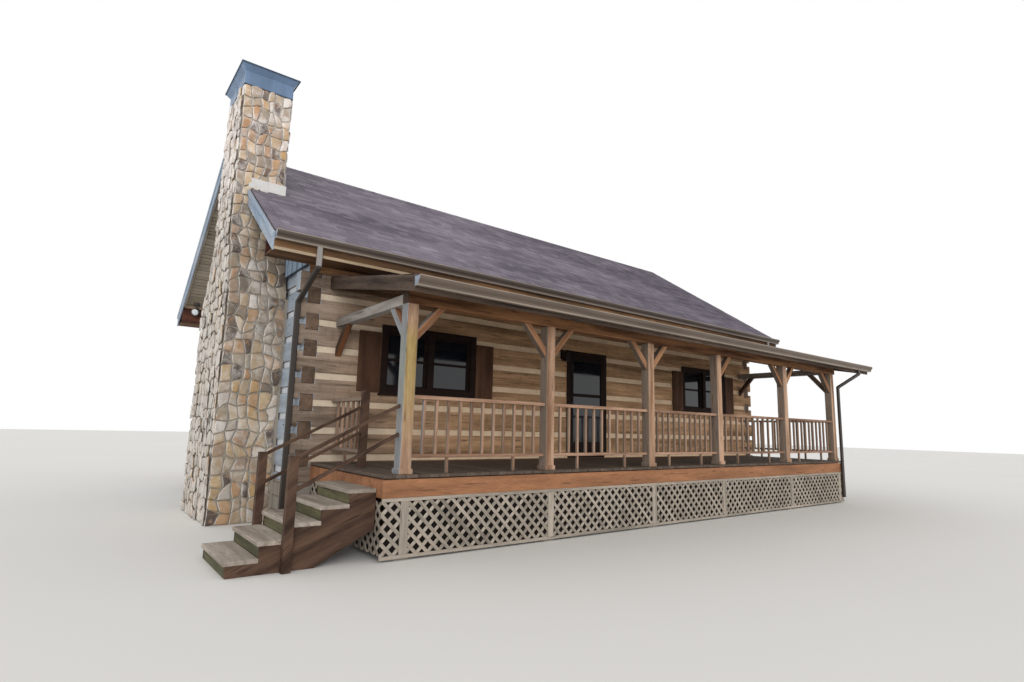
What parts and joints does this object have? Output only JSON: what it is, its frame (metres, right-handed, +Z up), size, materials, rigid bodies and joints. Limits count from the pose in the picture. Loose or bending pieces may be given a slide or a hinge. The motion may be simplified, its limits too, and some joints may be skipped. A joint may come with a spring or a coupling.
{
  "type": "log cabin",
  "caption": "Hewn-log cabin with a boarded gable, a fieldstone chimney and a full-length covered porch on posts, with railings and side steps",
  "frame": {"origin": "Underside of the middle of the front foundation wall, at ground level", "axes": "X runs along the front wall to the right, Y runs from the porch into the house, Z is up"},
  "size_m": [13.935, 10.757, 7.36],
  "materials": {
    "hewn_logs": "rough hewn, weathered grey-brown",
    "chinking": "trowelled mortar",
    "block_wall": "bare masonry block",
    "floor_boards": "sawn boards",
    "siding_paint": "blue-grey stain",
    "shingles": "granulated shingles",
    "trim_boards": "stained boards",
    "gutter_metal": "baked paint",
    "fieldstone": "laid fieldstone",
    "cap_metal": "sheet metal",
    "flashing_metal": "sheet metal",
    "dark_joinery": "dark stain",
    "window_glass": "clear",
    "lantern_metal": "satin black",
    "door_metal": "polished",
    "deck_boards": "weathered",
    "band_board": "stained",
    "skirt_wood": "weathered",
    "porch_timber": "brown stain",
    "step_wood": "weathered grey"
  },
  "bodies": {
    "cabin": {"back_logs": "hewn_logs", "chimney_cap": "cap_metal", "chimney_flashing": "flashing_metal", "chimney_stack": "fieldstone", "chinking": "chinking", "door_frame": "dark_joinery", "door_hinge_pins": "door_metal", "door_threshold": "dark_joinery", "downspouts": "gutter_metal", "eave_fascias": "trim_boards", "foundation_end_walls": "block_wall", "foundation_long_walls": "block_wall", "front_logs_full_length": "hewn_logs", "front_logs_left": "hewn_logs", "front_logs_right": "hewn_logs", "gable_logs": "hewn_logs", "gable_siding": "siding_paint", "gutters": "gutter_metal", "house_floor": "floor_boards", "lattice_ends": "skirt_wood", "lattice_front": "skirt_wood", "main_roof_back": "shingles", "main_roof_front": "shingles", "porch_band_board": "band_board", "porch_beam": "porch_timber", "porch_deck": "deck_boards", "porch_fascias": "trim_boards", "porch_girders": "deck_boards", "porch_joists": "deck_boards", "porch_knee_braces": "porch_timber", "porch_ledger": "porch_timber", "porch_piers": "block_wall", "porch_posts": "porch_timber", "porch_rafters": "porch_timber", "porch_railings": "porch_timber", "porch_roof": "shingles", "porch_tie_beams": "porch_timber", "rake_boards": "siding_paint", "ridge_cap": "shingles", "roof_soffits": "trim_boards", "skirt_stiles": "skirt_wood", "skirt_strips": "skirt_wood", "step_rails": "step_wood", "step_risers": "step_wood", "step_stringers": "step_wood", "step_treads": "step_wood", "wall_lantern": "lantern_metal", "window_frames": "dark_joinery", "window_glass": "window_glass", "window_shutters": "dark_joinery"},
    "front_door": {"door_leaf": "dark_joinery", "door_glass": "window_glass", "door_hardware": "door_metal"}
  },
  "joints": [
    {"name": "front_door_hinge", "type": "hinge", "parent": "cabin", "child": "front_door", "pos_m": [-0.646, -0.135, 0], "axis": [0, 0, -1], "range_deg": [0, 95]}
  ]
}
